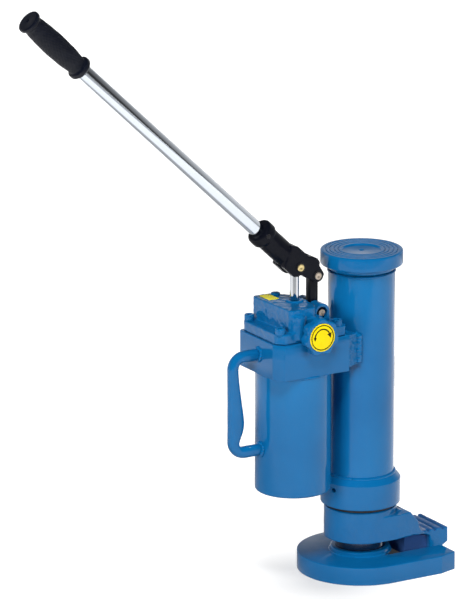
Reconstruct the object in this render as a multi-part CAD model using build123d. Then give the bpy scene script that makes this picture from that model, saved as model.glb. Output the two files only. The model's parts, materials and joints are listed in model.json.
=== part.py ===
from build123d import *
import os
from math import cos, radians, sin, sqrt

# Hydraulic toe jack, moving-cylinder type, ten tonne class.  Millimetres.
# Origin: axis of the column, on the floor.  +X points along the toe, +Z up,
# the pump and its tank stand on the -X side, the release knob faces -Y.
# Everything is drawn 13.5 mm above the fully lowered state.

# ---- driving dimensions ----
STAND_OFF = 13.5            # lift already taken at the drawn position
BASE_R, BASE_T = 83.4, 24.3
BASE_NOSE_X, BASE_NOSE_Y = 101.0, 75.5
BASE_SIDE_X = 75.0          # the straight sides end here and the corners start
SLOT_HALF = 40.5
BOSS_R, BOSS_TOP = 39.5, 31.0
RAM_R, RAM_BORE_R = 33.0, 20.0
RAM_SPIGOT_R, RAM_SPIGOT_Z = 30.0, 8.0
PISTON_Z0, PISTON_Z1 = 360.0, 382.0
TUBE_R, TUBE_BORE_R = 43.7, 36.3
TUBE_Z0, TUBE_Z1 = 112.0, 408.0
HEAD_R, HEAD_NECK_R, HEAD_Z0, HEAD_Z1 = 53.2, 45.5, 416.3, 434.0
COLLAR_R, COLLAR_Z0, COLLAR_Z1, COLLAR_TOP = 52.7, 92.3, 125.3, 133.5
SPIGOT_R = 38.0             # neck of the collar that the toe ring turns on
TOE_RING_R, TOE_Z0, TOE_Z1 = 48.0, 45.2, 87.7
TOE_ARM_Z, TOE_ARM_END = 78.5, 76.0
TOE_TIP_X, TOE_TIP_HALF, TOE_TIP_Z0, TOE_TIP_Z1 = 116.8, 33.0, 14.0, 44.5
TOE_NECK_X, TOE_NECK_HALF = 41.0, 27.0
TOE_GROOVES, TOE_GROOVE_W, TOE_GROOVE_D = (84.5, 95.0, 107.5), 4.0, 2.2
TANK_X, TANK_R, TANK_WALL, TANK_Z0 = -104.0, 50.0, 2.5, 125.4
HOUSING_X0, HOUSING_X1, HOUSING_HALF = -157.0, -49.0, 50.0
HOUSING_Z0, HOUSING_Z1 = 288.5, 336.0
GASKET_T = 0.6
FLANGE_X0, FLANGE_HALF, FLANGE_TOP = -154.0, 46.0, 350.0
RIDGE_TOP = 379.0
PLUNGER_X, PLUNGER_R, PLUNGER_Z0 = -102.5, 6.1, 325.0
EAR_X, EAR_Z, EAR_R, EAR_Y = -76.0, 365.0, 12.0, 25.6
PIN_R = 5.0
RUNNING = 0.05              # radial running clearance of pins and shafts
FORK_GAP = 6.6              # half the gap between the ears, and between the cheeks
LINK_TOP_Z, LINK_W, LINK_HALF_T, LINK_END_R = 412.2, 11.4, 5.6, 9.0
PIVOT_Z = 427.0             # height of the plunger pin
LEVER_ANGLE = 43.5          # degrees above horizontal
LEVER_AXIS_Z = 0.5          # bar axis above the plunger pin, in the lever's own frame
CHEEK_Y = 15.4
SOCKET_R, BAR_R, BAR_BORE_R = 15.4, 10.0, 7.5
BAR_END, GRIP_END, GRIP_START = -535.0, -539.0, -431.0
KNOB_X, KNOB_Z, KNOB_R, KNOB_Y0, KNOB_Y1 = -101.0, 345.0, 25.5, -51.0, -66.0
SPINDLE_R = 5.0
HANDLE_TOP_Z, HANDLE_LOW_Z, HANDLE_X, HANDLE_R = 314.9, 186.0, -202.5, 8.0
HANDLE_HALF = 6.6
SCREW_HEAD_R, SCREW_HEAD_H, SCREW_R = 6.5, 8.0, 4.0
SCREW_PLACES = [(-147.0, -38.0), (-147.0, 39.0), (-62.0, -39.0), (-62.0, 39.0)]

UP = (Align.CENTER, Align.CENTER, Align.MIN)


# ---- small builders ----
def post(radius, z0, z1, x=0.0, y=0.0):
    """Upright cylinder between two heights."""
    return Pos(x, y, z0) * Cylinder(radius, z1 - z0, align=UP)


def cross_rod(radius, x, z, y0, y1):
    """Cylinder along Y between two values of Y."""
    low = min(y0, y1)
    return Pos(x, low, z) * Rot(-90, 0, 0) * Cylinder(radius, abs(y1 - y0), align=UP)


def long_rod(radius, x0, x1, y=0.0, z=0.0):
    """Cylinder along X between two values of X."""
    return Pos(x0, y, z) * Rot(0, 90, 0) * Cylinder(radius, x1 - x0, align=UP)


def block(x0, x1, y0, y1, z0, z1):
    """Box between limits."""
    middle = Pos((x0 + x1) / 2, (y0 + y1) / 2, (z0 + z1) / 2)
    return middle * Box(x1 - x0, y1 - y0, z1 - z0)


def turned(points, x=0.0, y=0.0):
    """Solid of revolution about a vertical axis, from radius and height pairs."""
    outline = make_face(Plane.XZ * Polyline(*points, close=True))
    return Pos(x, y, 0) * revolve(outline, Axis.Z, 360)


def turned_along_x(points):
    """Solid of revolution about the X axis, from X and radius pairs."""
    outline = make_face(Plane.XZ * Polyline(*points, close=True))
    return revolve(outline, Axis.X, 360)


def plan_plate(points, z0, z1):
    """Plate with a plan outline, between two heights."""
    return Pos(0, 0, z0) * extrude(make_face(Polyline(*points, close=True)), z1 - z0)


def side_plate(points, half_width):
    """Plate with an outline in X and Z, centred on Y = 0."""
    outline = make_face(Plane.XZ * Polyline(*points, close=True))
    return extrude(outline, half_width, both=True)


def on_lever(shape):
    """Take a shape from the lever's own frame to its place on the jack."""
    return Pos(PLUNGER_X, 0, PIVOT_Z) * Rot(0, LEVER_ANGLE, 0) * shape


def link_pin_on_lever():
    """Upper link pin, in the lever's own frame: X along the bar, Z across it."""
    dx, dz = EAR_X - PLUNGER_X, LINK_TOP_Z - PIVOT_Z
    turn = radians(LEVER_ANGLE)
    return dx * cos(turn) - dz * sin(turn), dx * sin(turn) + dz * cos(turn)


def circlip(x, z, y, side):
    """Open retaining ring on a cross pin, on the side given by +1 or -1."""
    ring = cross_rod(PIN_R + 1.9, x, z, y, y + side * 1.2) - cross_rod(PIN_R, x, z, y - 2, y + 2)
    low = min(y, y + side * 1.2)
    return ring - block(x - 2, x + 2, low - 1, low + 3, z - PIN_R - 4, z - PIN_R + 1)


# ---- base: foot and fixed ram ----
def base_plate():
    """Forked foot, round at the back, with a slot between its prongs for the toe."""
    nose = [(0, -BASE_R), (BASE_SIDE_X, -BASE_R), (BASE_NOSE_X, -BASE_NOSE_Y),
            (BASE_NOSE_X, BASE_NOSE_Y), (BASE_SIDE_X, BASE_R), (0, BASE_R)]
    foot = plan_plate(nose, 0, BASE_T) + post(BASE_R, 0, BASE_T)
    foot -= block(0, BASE_NOSE_X + 5, -SLOT_HALF, SLOT_HALF, -1, BASE_T + 1)
    foot += post(BOSS_R, 0, BASE_T)
    foot = chamfer(foot.edges().group_by(Axis.Z)[-1], 2.0)
    foot += turned([(0, 0), (BOSS_R, 0), (BOSS_R, BOSS_TOP - 2), (BOSS_R - 2, BOSS_TOP), (0, BOSS_TOP)])
    return foot - post(RAM_SPIGOT_R, RAM_SPIGOT_Z, BOSS_TOP + 1)


def ram():
    """Chromed hollow piston rod, screwed into the foot."""
    outline = [(0, RAM_SPIGOT_Z), (RAM_SPIGOT_R, RAM_SPIGOT_Z), (RAM_SPIGOT_R, BOSS_TOP),
               (RAM_R, BOSS_TOP), (RAM_R, PISTON_Z0), (26, PISTON_Z0), (26, PISTON_Z1),
               (RAM_BORE_R, PISTON_Z1), (RAM_BORE_R, 44), (0, 40)]
    return turned(outline)


def piston_head():
    """Ring at the top of the ram, grooved for its seal and guide ring."""
    outer = TUBE_BORE_R - 0.4
    return turned([(26, PISTON_Z0), (outer, PISTON_Z0), (outer, 363), (32.5, 363), (32.5, 371),
                   (outer, 371), (outer, 374), (31.5, 374), (31.5, 380), (outer, 380),
                   (outer, PISTON_Z1), (26, PISTON_Z1)])


def piston_guide_ring():
    return turned([(32.5, 363), (TUBE_BORE_R - 0.1, 363), (TUBE_BORE_R - 0.1, 371), (32.5, 371)])


def piston_seal():
    outer = TUBE_BORE_R - 0.1
    return turned([(31.5, 374), (outer, 374), (outer, 380), (34.6, 380), (34, 377.5), (33.2, 380),
                   (31.5, 380)])


# ---- toe ----
def toe_arm():
    """Arm of the toe: a tapering plan, cut by its stepped slope seen from the side."""
    plan = [(0, -TOE_RING_R), (30, -TOE_RING_R), (55, -43.7), (TOE_ARM_END, -39), (TOE_ARM_END, 39),
            (55, 43.7), (30, TOE_RING_R), (0, TOE_RING_R)]
    slope = [(TOE_ARM_END, TOE_TIP_Z1), (70.5, 49), (66.5, 55), (65, 61), (62.5, 66), (56, 72.5),
             (50.5, TOE_ARM_Z)]
    side = [(0, TOE_Z0), (60, TOE_Z0), (64, TOE_TIP_Z1 - 1), (TOE_ARM_END, TOE_TIP_Z1 - 1)]
    return side_plate(side + slope + [(0, TOE_ARM_Z)], 60) & plan_plate(plan, TOE_TIP_Z1 - 2, TOE_ARM_Z)


def lifting_toe():
    """Ring that turns on the collar's neck, with an arm down to a narrow neck and a ribbed tip."""
    neck = block(TOE_NECK_X, 86, -TOE_NECK_HALF, TOE_NECK_HALF, TOE_TIP_Z0, TOE_TIP_Z1)
    neck += block(TOE_NECK_X, 62, -TOE_NECK_HALF, TOE_NECK_HALF, TOE_TIP_Z0, 60)
    tip = side_plate([(84, TOE_TIP_Z0), (100, TOE_TIP_Z0), (TOE_TIP_X, 24.5), (TOE_TIP_X, TOE_TIP_Z1),
                      (72, TOE_TIP_Z1), (72, 40)], TOE_TIP_HALF)
    toe = post(TOE_RING_R, TOE_Z0, TOE_Z1) + toe_arm() + neck + tip
    for x in TOE_GROOVES:
        toe -= block(x, x + TOE_GROOVE_W, -40, 40, TOE_TIP_Z1 - TOE_GROOVE_D, TOE_TIP_Z1 + 1)
    toe -= post(SPIGOT_R + RUNNING, 40, TOE_Z1 + 5)
    return toe - post(42.2, 40, 54)


# ---- cylinder and its ends ----
def cylinder_tube():
    """Lifting cylinder, which slides on the ram."""
    tube = post(TUBE_R, TUBE_Z0, TUBE_Z1) - post(TUBE_BORE_R, TUBE_Z0, TUBE_Z1)
    return tube - delivery_drilling()


def head_plate():
    """Lifting head: plug, neck and a saddle with rings turned in its top face."""
    head = turned([(0, 398), (TUBE_BORE_R, 398), (TUBE_BORE_R, TUBE_Z1), (HEAD_NECK_R, TUBE_Z1),
                   (HEAD_NECK_R, HEAD_Z0), (HEAD_R, HEAD_Z0), (HEAD_R, HEAD_Z1 - 1.5),
                   (HEAD_R - 1.5, HEAD_Z1), (0, HEAD_Z1)])
    for radius in (31.0, 36.0, 42.0, 47.0):
        head -= turned([(radius - 0.8, HEAD_Z1 - 1), (radius + 0.8, HEAD_Z1 - 1),
                        (radius + 0.8, HEAD_Z1 + 1), (radius - 0.8, HEAD_Z1 + 1)])
    head -= post(25, HEAD_Z1 - 1.2, HEAD_Z1 + 1)
    return head - post(2.5, HEAD_Z1 - 3.5, HEAD_Z1 + 1)


def lower_collar():
    """Gland collar on the tube's lower end, with the neck that carries the toe."""
    collar = turned([(RAM_R + 0.4, 46.6), (SPIGOT_R, 46.6), (SPIGOT_R, COLLAR_Z0),
                     (COLLAR_R, COLLAR_Z0), (COLLAR_R, COLLAR_Z1), (45.5, COLLAR_TOP),
                     (TUBE_R, COLLAR_TOP), (TUBE_R, TUBE_Z0), (TUBE_BORE_R, TUBE_Z0),
                     (TUBE_BORE_R, 95), (RAM_R + 0.4, 95)])
    return collar - Rot(0, 0, 196.5) * long_rod(3.5, 45, 60, z=116.7)


def guide_bush():
    return post(TUBE_BORE_R, 101, 135) - post(RAM_R + 0.1, 101, 135)


def wiper_ring():
    return turned([(33.1, 96), (34.2, 95), (TUBE_BORE_R, 95), (TUBE_BORE_R, 101), (34.4, 101),
                   (34, 98.5), (33.1, 97.5)])


def thrust_washer():
    return post(46, TOE_Z1 + 0.3, COLLAR_Z0) - post(SPIGOT_R, TOE_Z1, COLLAR_Z0)


def toe_retaining_nut():
    """Ring nut under the toe ring, with four spanner slots."""
    nut = post(41.7, 46.6, 53.6) - post(SPIGOT_R, 46, 54)
    for quarter in range(4):
        nut -= Rot(0, 0, 45 + 90 * quarter) * block(39.6, 44, -3, 3, 46, 50)
    return nut


# ---- pump unit ----
def delivery_drilling():
    """Oil way from the pump chamber to the cylinder."""
    return long_rod(3, PLUNGER_X, -30, z=308)


def saddle_plan():
    half = 46.0
    return [(HOUSING_X1, -half), (-27, -36), (-15, -20), (-15, 20), (-27, 36), (HOUSING_X1, half)]


def saddle_block():
    """Pad between the pump housing and the tube, hollowed to the tube's radius."""
    pad = plan_plate(saddle_plan(), HOUSING_Z0 + 3, HOUSING_Z1 - 1)
    return pad - post(TUBE_R, 280, 350) - delivery_drilling()


def housing_plan():
    """Plan of the housing: its near outer corner is cut much more than the far one."""
    x0, x1, half = HOUSING_X0, HOUSING_X1, HOUSING_HALF
    return [(x0 + 10, -half), (x1, -half), (x1, half), (x0 + 4, half), (x0, half - 4), (x0, -half + 14)]


def pump_housing():
    """Steel block between the tank and the pump head."""
    housing = plan_plate(housing_plan(), HOUSING_Z0, HOUSING_Z1)
    housing = chamfer(housing.edges().group_by(Axis.Z)[0], 0.8)
    housing -= post(PLUNGER_R + 0.1, 303, HOUSING_Z1 + 1, PLUNGER_X)
    housing -= post(2, HOUSING_Z0 - 1, 304, PLUNGER_X)
    housing -= post(4.2, 291, 299, PLUNGER_X)
    housing -= delivery_drilling()
    housing -= long_rod(5.2, -72, HOUSING_X1 - 5, z=308)
    for x, y in SCREW_PLACES:
        housing -= post(SCREW_R, 316, HOUSING_Z1 + 1, x, y)
    return housing


def reservoir_tank():
    """Oil can, closed at the bottom, round the suction pipe."""
    rim = TANK_R - TANK_WALL
    return turned([(0, TANK_Z0), (TANK_R - 3, TANK_Z0), (TANK_R - 0.9, TANK_Z0 + 0.9),
                   (TANK_R, TANK_Z0 + 3), (TANK_R, HOUSING_Z0), (rim, HOUSING_Z0),
                   (rim, TANK_Z0 + 4), (0, TANK_Z0 + 4)], TANK_X)


def tank_seal():
    rim = TANK_R - TANK_WALL
    return turned([(rim - 3, HOUSING_Z0 - 3), (rim, HOUSING_Z0 - 3), (rim, HOUSING_Z0),
                   (rim - 3, HOUSING_Z0)], TANK_X)


def suction_pipe():
    return post(4, 150, HOUSING_Z0, PLUNGER_X) - post(2.6, 150, HOUSING_Z0, PLUNGER_X)


def suction_strainer():
    """Gauze cup on the foot of the suction pipe."""
    return post(9, 138, 160, PLUNGER_X) - post(7.8, 139.5, 158.5, PLUNGER_X) - post(
        4, 150, 161, PLUNGER_X)


def valve_balls():
    """Suction and delivery balls."""
    suction = Pos(PLUNGER_X, 0, 294.2) * Sphere(3.1)
    delivery = Pos(-68, 0, 308) * Sphere(3.6)
    return Compound([suction, delivery])


def valve_springs():
    """Light springs behind the balls, drawn as their turns of round wire."""
    suction = Pos(PLUNGER_X, 0, 297.9) * Torus(2.8, 0.35)
    delivery = [Pos(-64.2 + 2.4 * turn, 0, 308) * Rot(0, 90, 0) * Torus(3.6, 0.5) for turn in range(3)]
    return Compound([suction] + delivery)


def gasket():
    """Joint sheet between the housing and the pump head."""
    sheet = plan_plate(flange_plan(), HOUSING_Z1, HOUSING_Z1 + GASKET_T)
    sheet -= post(PLUNGER_R + 0.4, 330, 340, PLUNGER_X)
    for x, y in SCREW_PLACES:
        sheet -= post(SCREW_R, 330, 340, x, y)
    return sheet


def flange_plan():
    """Plan of the pump head's foot, with its corners cut."""
    x0, x1, half = FLANGE_X0, HOUSING_X1 - 1, FLANGE_HALF
    return [(x0 + 9, -half), (x1 - 4, -half), (x1, -half + 5), (x1, half - 5), (x1 - 4, half),
            (x0 + 5, half), (x0, half - 5), (x0, -half + 9)]


def ridge_plan():
    """Plan of the raised body that holds the plunger and the filler."""
    return [(-134, -38), (-130, -42), (-96, -42), (-90, -27), (-86.5, -2), (-88.5, 12),
            (-93, 30), (-112, 48), (-135, 48), (-137.5, 45)]


def pump_head():
    """Casting with the plunger bore, the filler hole, the release valve and the link ears."""
    head = plan_plate(flange_plan(), HOUSING_Z1 + GASKET_T, FLANGE_TOP)
    head = fillet(head.edges().group_by(Axis.Z)[-1], 2.0)
    ridge = plan_plate(ridge_plan(), FLANGE_TOP - 2, RIDGE_TOP)
    ridge = fillet(ridge.edges().group_by(Axis.Z)[-1], 2.0)
    corner = post(11, FLANGE_TOP - 8, 372, -121, -38)
    corner = fillet(corner.edges().group_by(Axis.Z)[-1], 3.0)
    ears = cross_rod(EAR_R, EAR_X, EAR_Z, -EAR_Y, EAR_Y)
    ears += block(EAR_X - 14, EAR_X + EAR_R, -EAR_Y, EAR_Y, FLANGE_TOP - 2, EAR_Z)
    valve_boss = cross_rod(15, KNOB_X, KNOB_Z, -40, -46.5) & block(-130, -70, -60, 0, 337, 362)
    head = head + ridge + corner + ears + valve_boss
    head -= block(-88, EAR_X + EAR_R + 2, -FORK_GAP, FORK_GAP, 352, 400)
    head -= cross_rod(PIN_R, EAR_X, EAR_Z, -40, 40)
    for side in (-1, 1):
        head -= cross_rod(8.2, EAR_X, EAR_Z, side * 19, side * 30)
    head -= post(PLUNGER_R + 0.1, 330, 400, PLUNGER_X)
    head -= post(12, 371, 400, PLUNGER_X)
    head -= cross_rod(SPINDLE_R + RUNNING, KNOB_X, KNOB_Z, -14, -60)
    head -= cross_rod(2.7, KNOB_X, KNOB_Z, -8.8, -15)
    head -= post(4, 366, RIDGE_TOP + 1, -108, 38)
    for x, y in SCREW_PLACES:
        head -= post(SCREW_R, 330, 360, x, y)
        head -= post(SCREW_HEAD_R + 0.8, FLANGE_TOP, 362, x, y)
    return head


def cap_screws():
    """Four socket head screws that hold the pump head down."""
    screws = []
    for x, y in SCREW_PLACES:
        head = post(SCREW_HEAD_R, FLANGE_TOP, FLANGE_TOP + SCREW_HEAD_H, x, y)
        head = chamfer(head.edges().group_by(Axis.Z)[-1], 0.6)
        key = Pos(x, y, FLANGE_TOP + 4) * extrude(RegularPolygon(3.5, 6), 10)
        screws.append(head + post(SCREW_R, 320, FLANGE_TOP, x, y) - key)
    return Compound(screws)


def filler_plug():
    """Oil filler screw with a slotted head."""
    plug = post(6.2, RIDGE_TOP, 384.2, -108, 38) + post(4, 368, RIDGE_TOP, -108, 38)
    return plug - block(-116, -100, 37.2, 38.8, 382.6, 386)


def plunger_gland():
    """Screwed ring that keeps the plunger packing in."""
    ring = turned([(PLUNGER_R + 0.3, 375), (12, 375), (12, 379.6), (11, 380.8),
                   (PLUNGER_R + 0.3, 380.8)], PLUNGER_X)
    for quarter in range(2):
        ring -= Pos(PLUNGER_X, 0, 0) * Rot(0, 0, 90 * quarter) * block(-11.4, -9, -1, 1, 379, 382)
    return ring


def plunger_packing():
    return post(12, 371, 375, PLUNGER_X) - post(PLUNGER_R + 0.1, 371, 375, PLUNGER_X)


def spindle_gland():
    """Hexagon nut that seals the release spindle."""
    nut = Pos(KNOB_X, -50.4, KNOB_Z) * Rot(-90, 0, 0) * extrude(RegularPolygon(10, 6), 3.9)
    return nut - cross_rod(SPINDLE_R + RUNNING, KNOB_X, KNOB_Z, -52, -44)


def release_ball():
    return Pos(KNOB_X, -11.6, KNOB_Z) * Sphere(2.6)


def link_pin_lower():
    return cross_rod(PIN_R, EAR_X, EAR_Z, -25.0, 25.0)


def ear_circlips():
    return Compound([circlip(EAR_X, EAR_Z, side * 19.2, side) for side in (-1, 1)])


def handle_outline():
    """Carrying handle in X and Z: two arms and a bar with a finger swell."""
    top, low, r, bend_r = HANDLE_TOP_Z, HANDLE_LOW_Z, HANDLE_R, 24
    bend = [(HANDLE_X + bend_r - bend_r * sin(radians(a)), top + r - bend_r + bend_r * cos(radians(a)))
            for a in (0, 22, 45, 68, 90)]
    low_bend = [(HANDLE_X + bend_r - bend_r * cos(radians(a)), low - r + bend_r - bend_r * sin(radians(a)))
                for a in (0, 22, 45, 68, 90)]
    inside = [(-183.5, low + r), (-185.6, low + r + 4), (-185, 204), (-181, 213), (-179, 225),
              (-180.3, 238), (-184, 264), (-187, 286), (-188, 299), (-184, top - r)]
    ends = [(-148, low - r), (-148, low + r)]
    return [(HOUSING_X0, top + r)] + bend + low_bend + ends + inside + [(HOUSING_X0, top - r)]


def carry_handle():
    """Cast carrying handle, welded to the housing and to the tank."""
    handle = side_plate(handle_outline(), HANDLE_HALF)
    handle = chamfer(handle.faces().sort_by(Axis.Y)[-1].edges(), 2.5)
    handle = chamfer(handle.faces().sort_by(Axis.Y)[0].edges(), 2.5)
    return handle - post(TANK_R, 100, 288, TANK_X) - block(HOUSING_X0, -100, -60, 60, 288, 340)


def head_label():
    """Plain yellow plate on the pump head."""
    return block(-129.5, -114.5, 18, 44, RIDGE_TOP, RIDGE_TOP + 0.3)


def column_label():
    """Plain pale plate on the side of the tube."""
    sleeve = post(TUBE_R + 0.3, 249, 288) - post(TUBE_R, 249, 288)
    return sleeve & plan_plate([(0, 0), (80, 14), (80, -62)], 240, 300)


# ---- release valve ----
def valve_spindle():
    """Pointed spindle that shuts the release ball."""
    shaft = cross_rod(SPINDLE_R, KNOB_X, KNOB_Z, -16, -63)
    return shaft + cross_rod(2.0, KNOB_X, KNOB_Z, -14.3, -16)


def release_knob():
    """Star knob with seven lobes and a shallow face recess."""
    depth, lobes, dip = KNOB_Y0 - KNOB_Y1, 7, 2.2
    rim = []
    for step in range(8 * lobes):
        turn = 360 * step / (8 * lobes)
        radius = KNOB_R - dip + dip * cos(radians(lobes * turn))
        rim.append((radius * cos(radians(turn)), radius * sin(radians(turn))))
    star = extrude(make_face(Spline(*rim, periodic=True)), depth)
    star = fillet(star.edges().group_by(Axis.Z)[-1], 1.2)
    star -= Pos(0, 0, depth - 0.6) * Cylinder(18.7, 2, align=UP)
    knob = Pos(KNOB_X, KNOB_Y0, KNOB_Z) * Rot(90, 0, 0) * star
    return knob - cross_rod(SPINDLE_R, KNOB_X, KNOB_Z, KNOB_Y0 + 1, -63)


def knob_label():
    return cross_rod(18.6, KNOB_X, KNOB_Z, KNOB_Y1 + 0.6, KNOB_Y1 + 0.1)


# ---- link, lever and plunger ----
def link_arm():
    """Swinging link between the ears and the lever."""
    bar = block(EAR_X - LINK_W / 2, EAR_X + LINK_W / 2, -LINK_HALF_T, LINK_HALF_T, EAR_Z, LINK_TOP_Z)
    for z in (EAR_Z, LINK_TOP_Z):
        bar += cross_rod(LINK_END_R, EAR_X, z, -LINK_HALF_T, LINK_HALF_T)
    for z in (EAR_Z, LINK_TOP_Z):
        bar -= cross_rod(PIN_R + RUNNING, EAR_X, z, -10, 10)
    return bar


def cheek_outline():
    """Outline of one cheek of the socket, round both of its pins."""
    pin_x, pin_z = link_pin_on_lever()
    nose = [(pin_x + 8.6 * cos(radians(a)), pin_z + 8.6 * sin(radians(a))) for a in (-100, -70, -40, -10, 15)]
    return [(-32, -13.6), (-20, -14.6), (0, -14.2), (7.5, -10), (14, -7)] + nose + [
        (35, 15.8), (27, 20.4), (18, 22.4), (10.5, 22.2), (0, 18.6), (-20, 18.6), (-32, 16.6)]


def lever_socket():
    """Black casting: mouth ring, body and two cheeks."""
    z = LEVER_AXIS_Z + 0.9
    body = long_rod(SOCKET_R, -64, -22, z=z)
    mouth = long_rod(18, -77.5, -61, z=z)
    mouth = fillet(mouth.edges(), 4.0)
    cheeks = side_plate(cheek_outline(), CHEEK_Y)
    cheeks -= block(-24, 60, -FORK_GAP, FORK_GAP, -40, 40)
    socket = body + mouth + cheeks
    socket -= block(-21.9, 60, -FORK_GAP, FORK_GAP, -40, 40)
    socket -= long_rod(BAR_R, -90, -30, z=LEVER_AXIS_Z)
    pin_x, pin_z = link_pin_on_lever()
    socket -= cross_rod(PIN_R, 0, 0, -30, 30) + cross_rod(PIN_R, pin_x, pin_z, -30, 30)
    socket -= cross_rod(3, -70, z, -30, 30)
    return on_lever(socket)


def plunger_pin():
    return on_lever(cross_rod(PIN_R, 0, 0, -16.6, 16.6))


def link_pin_upper():
    pin_x, pin_z = link_pin_on_lever()
    return on_lever(cross_rod(PIN_R, pin_x, pin_z, -16.6, 16.6))


def lever_circlips():
    """Retaining rings outside the cheeks."""
    pin_x, pin_z = link_pin_on_lever()
    rings = []
    for x, z in ((0, 0), (pin_x, pin_z)):
        rings += [circlip(x, z, side * CHEEK_Y, side * 0.7) for side in (-1, 1)]
    return on_lever(Compound(rings))


def cross_screw():
    """Screw through the socket's mouth that holds the bar."""
    z = LEVER_AXIS_Z + 0.9
    return on_lever(cross_rod(3, -70, z, -18.2, 18.2))


def lever_bar():
    """Chromed tube."""
    bar = long_rod(BAR_R, BAR_END, -30, z=LEVER_AXIS_Z) - long_rod(BAR_BORE_R, BAR_END - 1, -29, z=LEVER_AXIS_Z)
    return on_lever(bar - cross_rod(3, -70, LEVER_AXIS_Z + 0.9, -30, 30))


def hand_grip():
    """Rubber grip: barrel between two flanges, closed over the end of the bar."""
    grip = turned_along_x([
        (GRIP_END, 2), (GRIP_END, 12.5), (GRIP_END + 1.8, 14.3), (GRIP_END + 7, 14.3),
        (GRIP_END + 10, 12.4), (-505, 14), (-487, 14.9), (-465, 14.2), (-446, 12.6),
        (-443, 15.9), (-435, 15.9), (GRIP_START, 13), (GRIP_START, BAR_R), (BAR_END, BAR_R), (BAR_END, 2)])
    return on_lever(Pos(0, 0, LEVER_AXIS_Z) * grip)


def plunger():
    """Chromed pump plunger with an eye; the eye is oversize so that it can follow the lever."""
    body = post(PLUNGER_R, PLUNGER_Z0, PIVOT_Z - 9, PLUNGER_X)
    body = chamfer(body.edges().group_by(Axis.Z)[0], 0.8)
    body += cross_rod(10.2, PLUNGER_X, PIVOT_Z, -LINK_HALF_T, LINK_HALF_T)
    return body - cross_rod(PIN_R + 1.6, PLUNGER_X, PIVOT_Z, -10, 10)


PARTS = [
    base_plate, ram, piston_head, piston_guide_ring, piston_seal, lifting_toe, cylinder_tube,
    head_plate, lower_collar, guide_bush, wiper_ring, thrust_washer, toe_retaining_nut,
    saddle_block, pump_housing, reservoir_tank, tank_seal, suction_pipe, suction_strainer,
    valve_balls, valve_springs, gasket, pump_head, cap_screws, filler_plug, plunger_gland,
    plunger_packing, spindle_gland, release_ball, link_pin_lower, ear_circlips, carry_handle,
    head_label, column_label, valve_spindle, release_knob, knob_label, link_arm, lever_socket,
    plunger_pin, link_pin_upper, lever_circlips, cross_screw, lever_bar, hand_grip, plunger,
]

os.makedirs("parts", exist_ok=True)
for make in PARTS:
    export_step(make(), f"parts/{make.__name__}.step")
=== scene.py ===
"""Looks of a hydraulic toe jack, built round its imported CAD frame.

The frame's own axes: +Z up the column, +X along the toe, the release knob faces
-Y.  Shapes are written in millimetres; materials, lights and camera in metres.
"""
import json
from math import atan2, cos, pi, radians, sin, sqrt, tan

import bmesh
import bpy
import numpy as np
from mathutils import Matrix, Vector, noise


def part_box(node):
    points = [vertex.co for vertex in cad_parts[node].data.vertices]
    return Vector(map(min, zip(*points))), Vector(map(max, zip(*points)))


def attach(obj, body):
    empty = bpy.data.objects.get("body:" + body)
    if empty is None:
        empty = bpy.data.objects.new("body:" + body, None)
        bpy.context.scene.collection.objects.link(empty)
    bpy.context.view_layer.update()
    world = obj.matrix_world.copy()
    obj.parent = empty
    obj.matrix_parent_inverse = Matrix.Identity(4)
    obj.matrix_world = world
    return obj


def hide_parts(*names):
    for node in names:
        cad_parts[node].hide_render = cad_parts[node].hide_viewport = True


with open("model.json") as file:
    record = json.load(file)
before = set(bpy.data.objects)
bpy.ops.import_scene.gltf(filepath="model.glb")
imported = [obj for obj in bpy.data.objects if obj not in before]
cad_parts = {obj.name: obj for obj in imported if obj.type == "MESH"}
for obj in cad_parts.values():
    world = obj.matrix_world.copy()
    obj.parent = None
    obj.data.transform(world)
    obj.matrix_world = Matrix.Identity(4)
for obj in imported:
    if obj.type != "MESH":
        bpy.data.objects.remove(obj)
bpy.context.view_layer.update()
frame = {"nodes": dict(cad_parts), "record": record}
MM = 0.001


# ---- places read from the frame
def low(node):
    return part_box(node)[0] / MM


def high(node):
    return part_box(node)[1] / MM


def middle(node):
    return (low(node) + high(node)) / 2


TANK = middle("reservoir_tank")
PLUNGER = middle("plunger")
EAR_PIN = middle("link_pin_lower")
TOP_PIN = middle("link_pin_upper")
EYE_PIN = middle("plunger_pin")
KNOB = middle("release_knob")
FLANGE_TOP = low("cap_screws").z + 30.0     # underside of the screw heads
RIDGE_TOP = low("head_label").z
HOUSING_LOW, HOUSING_HIGH = low("pump_housing"), high("pump_housing")
TOE_LOW, TOE_HIGH = low("lifting_toe"), high("lifting_toe")


# ---- node helpers
FRONT = Vector((-0.514, -0.858, 0))     # towards the front of the studio
COAT_IOR = 1.34


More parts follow.
